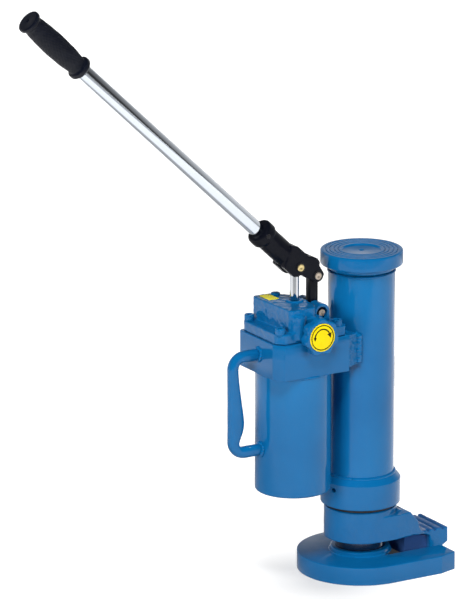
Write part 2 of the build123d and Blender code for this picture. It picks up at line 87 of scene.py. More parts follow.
class Nodes:
    """Short calls for the nodes of a tree, whose patterns follow one kind of coordinates."""

    def __init__(self, tree, coordinates):
        self.tree = tree
        self.place = self.add("ShaderNodeTexCoord").outputs[coordinates]

    def add(self, kind, **settings):
        node = self.tree.nodes.new(kind)
        for key, value in settings.items():
            setattr(node, key, value)
        return node

    def link(self, source, target):
        self.tree.links.new(source, target)

    def span(self, value, low_in, high_in, low_out, high_out):
        """Map a value from one range to another."""
        ramp = self.add("ShaderNodeMapRange")
        for socket, number in zip(("From Min", "From Max", "To Min", "To Max"),
                                  (low_in, high_in, low_out, high_out)):
            ramp.inputs[socket].default_value = number
        self.link(value, ramp.inputs["Value"])
        return ramp.outputs["Result"]

    def maths(self, operation, first, second=None):
        node = self.add("ShaderNodeMath", operation=operation)
        for place, value in enumerate((first, second)):
            if value is None:
                continue
            if isinstance(value, (int, float)):
                node.inputs[place].default_value = value
            else:
                self.link(value, node.inputs[place])
        return node.outputs["Value"]

    def times(self, first, second):
        return self.maths("MULTIPLY", first, second)

    def split(self, vector):
        """The X, Y and Z of a vector."""
        node = self.add("ShaderNodeSeparateXYZ")
        self.link(vector, node.inputs["Vector"])
        return list(node.outputs)

    def against(self, operation, other):
        """Distance from a point, or dot product with a direction."""
        node = self.add("ShaderNodeVectorMath", operation=operation)
        self.link(self.place, node.inputs[0])
        node.inputs[1].default_value = other
        return node.outputs["Value"]

    def facing(self, *ranges):
        """Map the distance or slope towards the front of the studio on to a value."""
        return self.span(self.against("DOT_PRODUCT", FRONT), *ranges)


class Shader(Nodes):
    """A material under construction."""

    def __init__(self, name, colour, metallic=0.0, roughness=0.4, coat=0.0, coat_roughness=0.03):
        self.material = bpy.data.materials.new(name)
        self.material.use_nodes = True
        super().__init__(self.material.node_tree, "Object")
        self.surface = self.tree.nodes["Principled BSDF"]
        self.colour = (*colour, 1.0)
        self.tinted = self.bumped = None
        self.set("Base Color", self.colour)
        self.set("Metallic", metallic)
        self.set("Roughness", roughness)
        self.set("IOR", 1.5)
        self.set("Coat Weight", coat)
        self.set("Coat Roughness", coat_roughness)
        if coat:
            self.set("Coat IOR", COAT_IOR)

    def set(self, socket, value):
        self.surface.inputs[socket].default_value = value

    def noise(self, per_metre, detail=2.0, rough=0.5, stretch=(1, 1, 1)):
        """Noise with features about 1/per_metre metres across."""
        scale = self.add("ShaderNodeMapping")
        scale.inputs["Scale"].default_value = stretch
        self.link(self.place, scale.inputs["Vector"])
        noise = self.add("ShaderNodeTexNoise")
        noise.inputs["Scale"].default_value = per_metre
        noise.inputs["Detail"].default_value = detail
        noise.inputs["Roughness"].default_value = rough
        self.link(scale.outputs["Vector"], noise.inputs["Vector"])
        return noise.outputs["Fac"]

    def tint(self, amount, other):
        """Mix the base colour, with the tints before this one, towards another by a mask."""
        mix = self.add("ShaderNodeMix", data_type="RGBA")
        if self.tinted is None:
            mix.inputs["A"].default_value = self.colour
        else:
            self.link(self.tinted, mix.inputs["A"])
        mix.inputs["B"].default_value = (*other, 1.0)
        self.link(amount, mix.inputs["Factor"])
        self.tinted = mix.outputs["Result"]
        self.link(self.tinted, self.surface.inputs["Base Color"])

    def bump(self, height, depth, strength=1.0):
        """Bump of a height field, on top of the bumps before this one; depth in metres."""
        bump = self.add("ShaderNodeBump")
        bump.inputs["Distance"].default_value = depth
        bump.inputs["Strength"].default_value = strength
        self.link(height, bump.inputs["Height"])
        if self.bumped is not None:
            self.link(self.bumped, bump.inputs["Normal"])
        self.bumped = bump.outputs["Normal"]
        self.link(self.bumped, self.surface.inputs["Normal"])

    def rough(self, value):
        self.link(value, self.surface.inputs["Roughness"])

    def sharp_edge_mask(self, low_in, high_in):
        """Mask that is 1 on sharp outer edges."""
        point = self.add("ShaderNodeNewGeometry").outputs["Pointiness"]
        return self.span(point, low_in, high_in, 0.0, 1.0)


# ---- materials
BLUE = (0.002, 0.114, 0.308)


def toe_painted_shade(s):
    """Mask of painted shade over the pocket under the toe's arm and, fainter, over the upward faces of the
    grooved top of its tip.
    """
    x, y, z = s.split(s.place)
    up = s.split(s.add("ShaderNodeTexCoord").outputs["Normal"])[2]
    inside = s.span(s.maths("ABSOLUTE", y), 0.0280, 0.0310, 1.0, 0.0)
    behind = s.span(x, 0.086, 0.091, 1.0, 0.0)
    below = s.span(z, 0.0405, 0.0430, 1.0, 0.0)
    pocket = s.times(inside, s.times(behind, below))
    top = s.times(s.span(x, 0.070, 0.074, 0.0, 0.55), s.span(up, 0.3, 0.7, 0.0, 1.0))
    return s.maths("MAXIMUM", pocket, top)


def blue_enamel(name="blue_enamel", cast=0.0, painted_shade=None):
    """Thick gloss enamel with a painted highlight on sharp edges and, where a mask function is given, a
    painted shade where that mask falls.  cast is the depth of the casting's skin below it, in millimetres.
    """
    s = Shader(name, BLUE, roughness=0.42, coat=1.0, coat_roughness=0.035)
    s.set("Specular IOR Level", 0.02)
    s.tint(s.span(s.noise(18, 3.0), 0.35, 0.75, 0.0, 0.45), (0.003, 0.148, 0.385))
    s.tint(s.span(s.noise(420, 2.0), 0.64, 0.80, 0.0, 0.35), (0.002, 0.092, 0.270))
    # painted highlight: lighter blue along sharp edges
    s.tint(s.sharp_edge_mask(0.56, 0.66), (0.008, 0.200, 0.480))
    if painted_shade:
        # painted shade: darker violet blue where the given mask falls
        s.tint(painted_shade(s), (0.034, 0.088, 0.262))
    s.rough(s.span(s.noise(60, 2.0), 0.3, 0.7, 0.34, 0.50))
    s.bump(s.noise(26, 2.0), 0.9 * MM, 0.35)
    s.bump(s.noise(480, 2.0, 0.6), 0.05 * MM, 0.5)
    if cast:
        s.bump(s.noise(300, 4.0, 0.65), cast * MM, 0.9)
        s.bump(s.noise(95, 3.0, 0.6), 2.2 * cast * MM, 0.7)
    return s.material


def black_enamel():
    """Satin black over a casting."""
    s = Shader("black_enamel", (0.0035, 0.0042, 0.0080), roughness=0.36, coat=0.22, coat_roughness=0.10)
    s.set("Specular IOR Level", 0.05)
    s.rough(s.span(s.noise(70, 3.0), 0.3, 0.7, 0.28, 0.50))
    s.tint(s.sharp_edge_mask(0.53, 0.60), (0.030, 0.033, 0.045))
    s.bump(s.noise(340, 4.0, 0.65), 0.16 * MM, 0.8)
    s.bump(s.noise(70, 2.0), 0.5 * MM, 0.4)
    return s.material


def hard_chrome(name="hard_chrome", along=(1, 1, 0.02), roughness=0.07, colour=(0.80, 0.81, 0.83)):
    """Polished chrome with faint lines along its length."""
    s = Shader(name, colour, metallic=1.0, roughness=roughness)
    lines = s.noise(2600, 2.0, 0.6, stretch=along)
    s.rough(s.span(lines, 0.3, 0.7, roughness * 0.6, roughness * 1.7))
    s.tint(s.span(s.noise(30, 2.0), 0.45, 0.75, 0.0, 0.3), tuple(0.88 * c for c in colour))
    s.bump(lines, 0.006 * MM, 0.5)
    return s.material


def turned_metal(name, colour, roughness, centre, axis):
    """Bright turned metal with tool rings round a centre; axis 0, 1 or 2 is the turning axis."""
    s = Shader(name, colour, metallic=1.0, roughness=roughness)
    shift = s.add("ShaderNodeMapping")
    shift.inputs["Location"].default_value = [-c * MM for c in centre]
    s.link(s.place, shift.inputs["Vector"])
    squares = [s.times(a, a) for k, a in enumerate(s.split(shift.outputs["Vector"])) if k != axis]
    radius = s.maths("SQRT", s.maths("ADD", *squares))
    rings = s.maths("SINE", s.times(radius, 2 * pi / (0.35 * MM)))
    stains = s.noise(900, 3.0)
    s.tint(s.span(stains, 0.45, 0.7, 0.0, 0.5), tuple(0.62 * c for c in colour))
    s.rough(s.span(stains, 0.3, 0.7, roughness * 0.8, roughness * 1.4))
    s.bump(rings, 0.02 * MM, 0.4)
    return s.material


def plain_metal(name, colour, roughness):
    """Machined or drawn metal with fine scatter."""
    s = Shader(name, colour, metallic=1.0, roughness=roughness)
    fine = s.noise(700, 3.0)
    s.rough(s.span(fine, 0.3, 0.7, roughness * 0.8, roughness * 1.3))
    s.tint(s.span(fine, 0.5, 0.8, 0.0, 0.4), tuple(0.7 * c for c in colour))
    s.bump(fine, 0.02 * MM, 0.4)
    return s.material


def moulded_rubber():
    """Dense black rubber with a faint bloom."""
    s = Shader("moulded_rubber", (0.0030, 0.0042, 0.0092), roughness=0.38)
    s.set("Specular IOR Level", 0.24)
    s.tint(s.span(s.noise(45, 3.0), 0.5, 0.8, 0.0, 0.5), (0.010, 0.012, 0.019))
    s.rough(s.span(s.noise(240, 3.0), 0.3, 0.7, 0.30, 0.48))
    s.bump(s.noise(1500, 2.0), 0.03 * MM, 0.5)
    return s.material


def soft_seal(name, colour):
    """Matt rubber or sheet."""
    s = Shader(name, colour, roughness=0.55)
    s.tint(s.span(s.noise(300, 2.0), 0.4, 0.8, 0.0, 0.5), tuple(1.6 * c for c in colour))
    s.bump(s.noise(900, 2.0), 0.02 * MM, 0.5)
    return s.material


def printed_plate(name, colour, faded):
    """Gloss printed foil with slightly uneven ink."""
    s = Shader(name, colour, roughness=0.34, coat=0.30, coat_roughness=0.08)
    s.set("Specular IOR Level", 0.08)
    s.tint(s.span(s.noise(90, 3.0), 0.5, 0.85, 0.0, 0.6), faded)
    s.bump(s.noise(160, 2.0), 0.05 * MM, 0.25)
    return s.material


def printing_ink():
    s = Shader("printing_ink", (0.014, 0.010, 0.004), roughness=0.5)
    s.set("Specular IOR Level", 0.10)
    s.tint(s.span(s.noise(800, 2.0), 0.4, 0.8, 0.0, 0.5), (0.05, 0.036, 0.006))
    return s.material


blue = blue_enamel()
blue_cast = blue_enamel("blue_cast_enamel", cast=0.30)
# the toe's enamel gets painted shade in the pocket under its arm and on the top of its tip
blue_toe = blue_enamel("blue_toe_enamel", cast=0.30, painted_shade=toe_painted_shade)
blue_cast_fine = blue_enamel("blue_plate_enamel", cast=0.05)
black = black_enamel()
# the chrome of the ram is made very dark: a painted shade for the dark foot it reflects
chrome = hard_chrome(roughness=0.12, colour=(0.12, 0.13, 0.16))
bar_chrome = hard_chrome("bar_chrome", along=(1, 1, 1), roughness=0.07, colour=(0.67, 0.715, 0.78))
plunger_chrome = hard_chrome("plunger_chrome", roughness=0.05, colour=(0.58, 0.60, 0.63))
pin_brass = turned_metal("pin_brass", (0.80, 0.64, 0.30), 0.30, EYE_PIN, 1)
pin_steel_top = turned_metal("pin_steel_upper", (0.62, 0.52, 0.42), 0.34, TOP_PIN, 1)
pin_steel_low = turned_metal("pin_steel_lower", (0.60, 0.50, 0.40), 0.34, EAR_PIN, 1)
steel = plain_metal("bright_steel", (0.50, 0.49, 0.47), 0.28)
dark_steel = plain_metal("oiled_steel", (0.035, 0.035, 0.038), 0.38)
bronze = plain_metal("bearing_bronze", (0.50, 0.33, 0.15), 0.30)
rubber = moulded_rubber()
seal = soft_seal("seal_rubber", (0.018, 0.018, 0.018))
joint_sheet = soft_seal("joint_sheet", (0.004, 0.030, 0.085))
yellow = printed_plate("yellow_foil", (0.84, 0.66, 0.002), (0.80, 0.52, 0.002))
# painted light: the label on top is a brighter copy of the yellow foil, making up for the weaker light on
# top faces
yellow_painted_lit = printed_plate("yellow_foil_painted_lit", (1.0, 0.88, 0.004), (0.95, 0.72, 0.004))
white = printed_plate("white_foil", (0.80, 0.83, 0.85), (0.70, 0.75, 0.79))
ink = printing_ink()

SLOT_MATERIALS = {
    "blue_paint": blue, "black_paint": black, "chrome": chrome, "brass": bronze, "steel": steel,
    "dark_steel": dark_steel, "bronze": bronze, "grip_rubber": rubber, "seal_rubber": seal,
    "gasket_sheet": joint_sheet, "label_yellow": yellow, "label_white": white,
}


# ---- mesh helpers
def rounded(corners, closed=True, steps=6):
    """Points of an outline whose corners (a, b, radius) are rounded by tangent arcs."""
    points = []
    count = len(corners)
    for k, (a, b, radius) in enumerate(corners):
        corner = Vector((a, b))
        if radius == 0 or (not closed and k in (0, count - 1)):
            points.append((a, b))
            continue
        back = Vector(corners[k - 1][:2]) - corner
        on = Vector(corners[(k + 1) % count][:2]) - corner
        half = back.angle(on) / 2
        reach = min(radius / tan(half), 0.49 * back.length, 0.49 * on.length)
        radius = reach * tan(half)
        first, last = corner + back.normalized() * reach, corner + on.normalized() * reach
        centre = corner + (back.normalized() + on.normalized()).normalized() * radius / sin(half)
        start = atan2(*(first - centre).yx)
        turn = (atan2(*(last - centre).yx) - start + pi) % (2 * pi) - pi
        for step in range(steps + 1):
            angle = start + turn * step / steps
            points.append((centre.x + radius * cos(angle), centre.y + radius * sin(angle)))
    return points


def in_scene(name, data):
    made = bpy.data.objects.new(name, data)
    bpy.context.scene.collection.objects.link(made)
    return made


def new_object(name, verts, faces):
    """Mesh object from points in millimetres."""
    mesh = bpy.data.meshes.new(name)
    mesh.from_pydata([tuple(c * MM for c in v) for v in verts], [], faces)
    mesh.validate()
    return in_scene(name, mesh)


def clean(made):
    """Merge doubles and make the normals face out."""
    work = bmesh.new()
    work.from_mesh(made.data)
    bmesh.ops.remove_doubles(work, verts=work.verts, dist=0.002 * MM)
    bmesh.ops.recalc_face_normals(work, faces=work.faces)
    work.to_mesh(made.data)
    work.free()
    return made


def lathe(name, profile, steps=128, wobble=None):
    """Turn (radius, height) points round the Z axis.  A closed profile returns to its start."""
    verts, faces = [], []
    count = len(profile)
    for turn in range(steps):
        angle = 2 * pi * turn / steps
        for radius, height in profile:
            r = radius + (wobble(angle, radius, height) if wobble and radius > 0.01 else 0)
            verts.append((r * cos(angle), r * sin(angle), height))
    closed = profile[0] == profile[-1]
    for turn in range(steps):
        here, there = turn * count, (turn + 1) % steps * count
        for k in range(count - 1):
            faces.append((here + k, there + k, there + k + 1, here + k + 1))
    if not closed and (profile[0][0] > 0.01 or profile[-1][0] > 0.01):
        raise ValueError(f"{name}: an open profile has to start and end on the axis")
    return clean(new_object(name, verts, faces))


def prism(name, outline, start, end, axis="Z"):
    """Solid with an outline in X and Y between heights, or in X and Z between values of Y."""
    def lift(a, b, level):
        return (a, b, level) if axis == "Z" else (a, level, b)
    count = len(outline)
    verts = [lift(a, b, start) for a, b in outline] + [lift(a, b, end) for a, b in outline]
    faces = [tuple(range(count)), tuple(range(count, 2 * count))]
    faces += [(k, (k + 1) % count, count + (k + 1) % count, count + k) for k in range(count)]
    return clean(new_object(name, verts, faces))


def spin(name, corners, turns=128, steps=6, wobble=None):
    """Turned solid whose profile has rounded corners."""
    return lathe(name, rounded(corners, closed=False, steps=steps), turns, wobble)


def box_solid(name, x0, x1, y0, y1, z0, z1):
    return prism(name, [(x0, y0), (x1, y0), (x1, y1), (x0, y1)], z0, z1)


def circle(radius, x, y, steps):
    return [(x + radius * cos(2 * pi * k / steps), y + radius * sin(2 * pi * k / steps))
            for k in range(steps)]


def disc_rod(name, radius, x, z, y0, y1, steps=48):
    """Cylinder along Y."""
    return prism(name, circle(radius, x, z, steps), y0, y1, "Y")


def upright(name, radius, z0, z1, x=0.0, y=0.0, steps=64):
    """Cylinder along Z."""
    return prism(name, circle(radius, x, y, steps), z0, z1)


def moved(made, matrix):
    """Move the mesh itself, so that the object stays at the origin; the matrix is in millimetres."""
    scaled = matrix.copy()
    scaled.translation = scaled.translation * MM
    made.data.transform(scaled)
    return made


def shifted(made, x=0.0, y=0.0, z=0.0):
    return moved(made, Matrix.Translation((x, y, z)))


def turned(made, axis, degrees, place):
    """Turn a mesh about an axis through the origin, then move the origin to a place."""
    turn = Matrix.Rotation(radians(degrees), 4, axis)
    turn.translation = place
    return moved(made, turn)


def settle(made):
    """Apply the modifiers."""
    graph = bpy.context.evaluated_depsgraph_get()
    mesh = bpy.data.meshes.new_from_object(made.evaluated_get(graph))
    made.modifiers.clear()
    made.data = mesh
    return made


def join(name, parts):
    """One mesh out of several, without merging them."""
    work = bmesh.new()
    for part in parts:
        work.from_mesh(part.data)
        bpy.data.objects.remove(part)
    mesh = bpy.data.meshes.new(name)
    work.to_mesh(mesh)
    work.free()
    return in_scene(name, mesh)


def melt(made, voxel=0.9, passes=6):
    """Turn overlapping solids into one casting with rounded edges."""
    remesh = made.modifiers.new("skin", "REMESH")
    remesh.mode = "VOXEL"
    remesh.voxel_size = voxel * MM
    soften = made.modifiers.new("soften", "SMOOTH")
    soften.factor, soften.iterations = 0.5, passes
    return settle(made)


def carve(made, cutters):
    """Cut solids out of a mesh, sharply."""
    for cutter in cutters:
        cut = made.modifiers.new("cut", "BOOLEAN")
        cut.operation, cut.solver, cut.object = "DIFFERENCE", "MANIFOLD", cutter
        settle(made)
        bpy.data.objects.remove(cutter)
    return made


def soften_edges(made, width, segments=3, angle=32):
    """Round the edges sharper than an angle."""
    bevel = made.modifiers.new("bevel", "BEVEL")
    bevel.width, bevel.segments = width * MM, segments
    bevel.limit_method, bevel.angle_limit = "ANGLE", radians(angle)
    bevel.use_clamp_overlap = True
    return settle(made)


def finish_piece(made, body, material, stands_for=(), sharp=32):
    """Shade, paint and hang a piece on its body."""
    made.data.materials.clear()
    made.data.materials.append(material)
    made.data.shade_smooth()
    made.data.set_sharp_from_angle(angle=radians(sharp))
    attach(made, body)
    if stands_for:
        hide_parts(*stands_for)
    return made


def blue_piece(made, body="cylinder", stands_for=(), material=blue, sharp=32):
    return finish_piece(made, body, material, stands_for, sharp)


# ---- more shapes
def arc(radius, start, end, steps, x=0.0, y=0.0):
    """Points of an arc, as sharp corners for rounded()."""
    return [(x + radius * cos(radians(start + (end - start) * k / steps)),
             y + radius * sin(radians(start + (end - start) * k / steps)), 0) for k in range(steps + 1)]


def tube_faces(count, around, closed=False):
    """Faces between rings of points that follow each other, and the ends of an open tube."""
    faces = []
    for k in range(count if closed else count - 1):
        here, there = k * around, (k + 1) % count * around
        faces += [(here + i, here + (i + 1) % around, there + (i + 1) % around, there + i)
                  for i in range(around)]
    if not closed:
        faces += [tuple(range(around)), tuple(range((count - 1) * around, count * around))]
    return faces


def loft_x(name, sections):
    """Solid from (x, half width, low, high) sections."""
    verts = []
    for x, half, bottom, top in sections:
        verts += [(x, -half, bottom), (x, half, bottom), (x, half, top), (x, -half, top)]
    return clean(new_object(name, verts, tube_faces(len(sections), 4)))


def weathered(made, depth, size, seed=0.0):
    """Push the surface in and out by smooth noise, as on a casting."""
    mesh = made.data
    count = len(mesh.vertices)
    places, normals = np.empty(3 * count, np.float32), np.empty(3 * count, np.float32)
    mesh.vertices.foreach_get("co", places)
    mesh.vertex_normals.foreach_get("vector", normals)
    places, normals = places.reshape(-1, 3), normals.reshape(-1, 3)
    shift = np.array((seed, 2 * seed, 3 * seed))
    coarse, fine = places / (size * MM) + shift, places / (0.4 * size * MM) + shift
    amount = np.array([noise.noise(a) + 0.4 * noise.noise(b) for a, b in zip(coarse, fine)])
    places += normals * (amount * depth * MM)[:, None]
    mesh.vertices.foreach_set("co", places.ravel())
    mesh.update()
    return made


def along_y(made, x, z):
    """Turn a piece made round +Z so that it lies round -Y, at a place in X and Z."""
    return turned(made, "X", 90, (x, 0, z))


def along_x(made):
    """Turn a piece made round +Z so that it lies round +X."""
    return turned(made, "Y", 90, (0, 0, 0))


def bead(name, path, radius, ripple=0.28, pitch=2.4, closed=False, steps=14):
    """Weld bead along a path of points, with the ripples that a weld leaves."""
    points = [Vector(p) for p in path]
    count, verts, run = len(points), [], 0.0
    for k, point in enumerate(points):
        ahead = points[(k + 1) % count] if closed or k < count - 1 else point
        behind = points[k - 1] if closed or k else point
        along = (ahead - behind).normalized()
        side = along.orthogonal().normalized()
        other = along.cross(side)
        ends = 1.0 if closed else min(1.0, sqrt(max(0.0, min(k, count - 1 - k)) / 3.0) + 0.05)
        grown = ends * (radius + ripple * abs(sin(pi * run / pitch)) + 0.25 * noise.noise(point / 5))
        for step in range(steps):
            angle = 2 * pi * step / steps
            verts.append(point + (side * cos(angle) + other * sin(angle)) * grown)
        run += (ahead - point).length
    return clean(new_object(name, verts, tube_faces(count, steps, closed)))


def ring_path(radius, height, start=0, end=360, steps=240, x=0.0, y=0.0):
    points = [(a, b, height) for a, b, _ in arc(radius, start, end, steps, x, y)]
    return points[:-1] if end - start >= 360 else points


def line_path(start, end, step=0.6):
    a, b = Vector(start), Vector(end)
    count = max(4, int((b - a).length / step))
    return [a.lerp(b, k / count) for k in range(count + 1)]


# ---- foot
EDGE_R = 1.2        # small radius on machined corners
SIDES = (-1, 1)


def make_foot():
    base_r, base_t, nose_x = high("base_plate").y, 24.3, high("base_plate").x
    boss_r, boss_top, ram_hole_r, ram_seat = 39.5, high("base_plate").z, 30.05, 8
    slot, slot_x, nose_half, side_x = 40.5, 14, 75.5, 75.0
    outline = rounded(
        [(nose_x, -nose_half, 2.5), (nose_x, -slot, 3), (slot_x, -slot, 1)] + arc(boss_r, -68, 68, 24)
        + [(slot_x, slot, 1), (nose_x, slot, 3), (nose_x, nose_half, 2.5), (side_x, base_r, 4)]
        + arc(base_r, 90, 270, 72) + [(side_x, -base_r, 4)])
    foot = soften_edges(prism("foot", outline, 0, base_t), 1.9, 4)
    blue_piece(foot, "base", ["base_plate"], blue_cast_fine)
    boss = spin("foot_boss", [(ram_hole_r, ram_seat, 0), (boss_r, ram_seat, 0), (boss_r, boss_top, 2.2),
                              (ram_hole_r, boss_top, 0.4), (ram_hole_r, ram_seat, 0)])
    blue_piece(boss, "base")
    blue_piece(bead("foot_weld", ring_path(boss_r + 0.2, base_t + 0.2, -62, 298, 300), 1.7), "base")


# ---- toe
def make_toe():
    ring_r, ring_low, arm_top, tip_top = 48.0, TOE_LOW.z + 31.2, 78.5, 44.5
    tip_half, tip_low, tip_x, neck_half, neck_x = 33.0, TOE_LOW.z, TOE_HIGH.x - 0.5, 27.0, 52
    groove_places, groove_deep = (84.5, 95.0, 107.5), 2.9
    ring = upright("ring", ring_r, ring_low, TOE_HIGH.z, steps=96)
    arm = loft_x("arm", [
        (0, ring_r, ring_low, arm_top), (30, ring_r, ring_low, arm_top), (50.5, 44.8, ring_low, arm_top),
        (56, 43.6, ring_low, 72.5), (62.5, 42.2, 44.3, 66), (65, 41.6, 43.5, 61), (66.5, 41.2, 43.4, 55),
        (70.5, 40.2, 43.2, 49), (76, 38.6, 42.5, 44.8)])
    fillet = loft_x("fillet", [(36, 34, arm_top - 3, 84), (42, 32, arm_top - 3, arm_top + 1.5),
                               (47, 28, arm_top - 3, arm_top - 0.5)])
    top = [(72, tip_top)]
    for x in groove_places:
        floor = tip_top - groove_deep
        top += [(x - 0.6, tip_top), (x + 0.5, floor), (x + 3.5, floor), (x + 4.6, tip_top)]
    tip = prism("tip", [(90, tip_low), (100, tip_low), (tip_x, 24.5), (tip_x, tip_top)] + top[::-1]
                + [(72, 42), (88, 37)], -tip_half, tip_half, "Y")
    neck = box_solid("neck", neck_x, 96, -neck_half, neck_half, tip_low, tip_top - 0.5)
    root = box_solid("root", neck_x, 64, -neck_half, neck_half, 30, 60)
    toe = melt(join("toe", [ring, arm, fillet, tip, neck, root]), 0.8, 6)
    weathered(toe, 0.24, 14)
    carve(toe, [upright("bore", 38.05, 40, 95, steps=128), upright("nut_room", 42.2, 30, 54, steps=96)])
    blue_piece(toe, "toe", ["lifting_toe"], blue_toe, 40)


# ---- column
TUBE_R, TUBE_BORE_R, TUBE_LOW = high("cylinder_tube").y, 36.3, 112


def make_column():
    top = high("cylinder_tube").z
    tube = lathe("column_tube", [
        (TUBE_BORE_R, TUBE_LOW), (TUBE_R, TUBE_LOW), (TUBE_R, 260), (TUBE_R, top), (TUBE_BORE_R, top),
        (TUBE_BORE_R, TUBE_LOW)], 192)
    blue_piece(tube, stands_for=["cylinder_tube"])
    neck_r, head_r, head_low, head_top = 45.5, high("head_plate").y + 0.8, 416.0, high("head_plate").z + 0.5
    plug_r, plug_low, gap_low, groove_deep, dish_deep = 36.2, 398, 409.4, 1.3, 2.0
    face = [(head_r, head_top, 1.8)]
    for radius in (47.4, 42.2, 36.2, 31.0):
        face += [(radius + 1.1, head_top, 0.3), (radius + 0.5, head_top - groove_deep, 0.3),
                 (radius - 0.5, head_top - groove_deep, 0.3), (radius - 1.1, head_top, 0.3)]
    face += [(25.8, head_top, 0.4), (24.6, head_top - dish_deep, 0.4), (3.6, head_top - dish_deep, 0.4),
             (0, head_top - 5.5, 0)]
    head = spin("lifting_head", [
        (0, plug_low, 0), (plug_r, plug_low, 0.5), (plug_r, gap_low, 0), (43.6, gap_low, 0.4),
        (neck_r, 412.2, 1.0), (neck_r, head_low, EDGE_R), (head_r, head_low, 1.5)] + face, 192, 4)
    blue_piece(head, stands_for=["head_plate"], sharp=50)
    blue_piece(bead("head_weld", ring_path(TUBE_R + 0.1, 406.6), 1.0, closed=True))


def make_collar():
    neck_r, neck_low, guide_r, guide_top = 38.0, 46.6, 33.4, 95
    r, low_z, top_z = high("lower_collar").y, low("thrust_washer").z + 4.3, 125.3
    rim_top = high("lower_collar").z
    collar = spin("lower_collar_skin", [
        (guide_r, neck_low, 0.3), (neck_r, neck_low, 0.6), (neck_r, low_z, 0), (r, low_z, 1.3),
        (r, top_z, 1.6), (45.6, rim_top, EDGE_R), (TUBE_R, rim_top, 0), (TUBE_R, TUBE_LOW, 0),
        (TUBE_BORE_R, TUBE_LOW, 0), (TUBE_BORE_R, guide_top, 0), (guide_r, guide_top, 0.3),
        (guide_r, neck_low, 0)], 192)
    hole_r, hole_angle, hole_z = 3.5, 196.5, 116.7
    spanner_hole = along_x(upright("pin", hole_r, 44.5, 62, steps=32))
    carve(collar, [turned(spanner_hole, "Z", hole_angle, (0, 0, hole_z))])
    blue_piece(collar, stands_for=["lower_collar"])
    blue_piece(bead("collar_weld", ring_path(TUBE_R + 0.7, rim_top - 0.3, steps=420), 1.9, closed=True))


# ---- tank, housing and saddle
def make_tank():
    r, z0, z1, wall = high("reservoir_tank").y, low("reservoir_tank").z, high("reservoir_tank").z, 2.5
    tank = spin("tank", [(0, z0, 0), (r, z0, 3.4), (r, z1, 0), (r - wall, z1, 0), (r - wall, z0 + 4, 2),
                         (0, z0 + 4, 0)], 192)
    blue_piece(shifted(tank, TANK.x), stands_for=["reservoir_tank"])
    seam = ring_path(r + 0.1, HOUSING_LOW.z - 0.7, steps=300, x=TANK.x)
    blue_piece(bead("tank_weld", seam, 1.3, ripple=0.5, pitch=3.4, closed=True))


def make_housing():
    (x0, y0, z0), (x1, y1, z1) = HOUSING_LOW, HOUSING_HIGH
    plan = rounded([(x0 + 10, y0, EDGE_R), (x1, y0, 0.6), (x1, y1, 0.6), (x0 + 4, y1, 2.5),
                    (x0, y1 - 4, 2.5), (x0, y0 + 14, EDGE_R)])
    housing = soften_edges(prism("housing", plan, z0, z1), 1.1, 3, angle=60)
    blue_piece(housing, stands_for=["pump_housing"])


def make_saddle():
    """Pad between the housing and the tube, under its lumpy welds."""
    s0, s1 = low("saddle_block"), high("saddle_block")
    touch_y, end_x, inside_r = 35.2, -27.5, TUBE_R - 0.2
    angle = 180 - 180 / pi * atan2(touch_y, sqrt(TUBE_R ** 2 - touch_y ** 2))
    plan = rounded([(s0.x, s0.y, EDGE_R), (end_x, -36, 1.5)] + arc(inside_r, 360 - angle, angle, 40)
                   + [(end_x, 36, 1.5), (s0.x, s1.y, EDGE_R)])
    parts = [prism("saddle", plan, s0.z, s1.z)]
    for side in SIDES:
        for x, y, under, over, radius in ((-27.6, 37.0, 2, 2, 4.4), (-24.6, 36.4, 3, 5, 2.6),
                                          (s0.x + 1.4, 45.6, 2, 2, 2.0)):
            path = line_path((x, side * y, s0.z + under), (x, side * y, s1.z - over))
            parts.append(bead("lumps", path, radius, ripple=0.9, pitch=4.2))
    saddle = melt(join("saddle", parts), 0.8, 3)
    weathered(saddle, 0.8, 5, 21.0)
    weathered(saddle, 0.35, 2.2, 5.0)
    carve(saddle, [upright("tube_room", inside_r, s0.z - 9, s1.z + 9, steps=160)])
    blue_piece(saddle, stands_for=["saddle_block"], material=blue_cast, sharp=50)


# ---- pump head
SCREW_PLACES = [(-147.0, -38.0), (-147.0, 39.0), (-62.0, -39.0), (-62.0, 39.0)]
SCREW_TOP = FLANGE_TOP + 8
EAR_R, EAR_HALF, FORK_HALF = 12.0, 25.6, 6.6


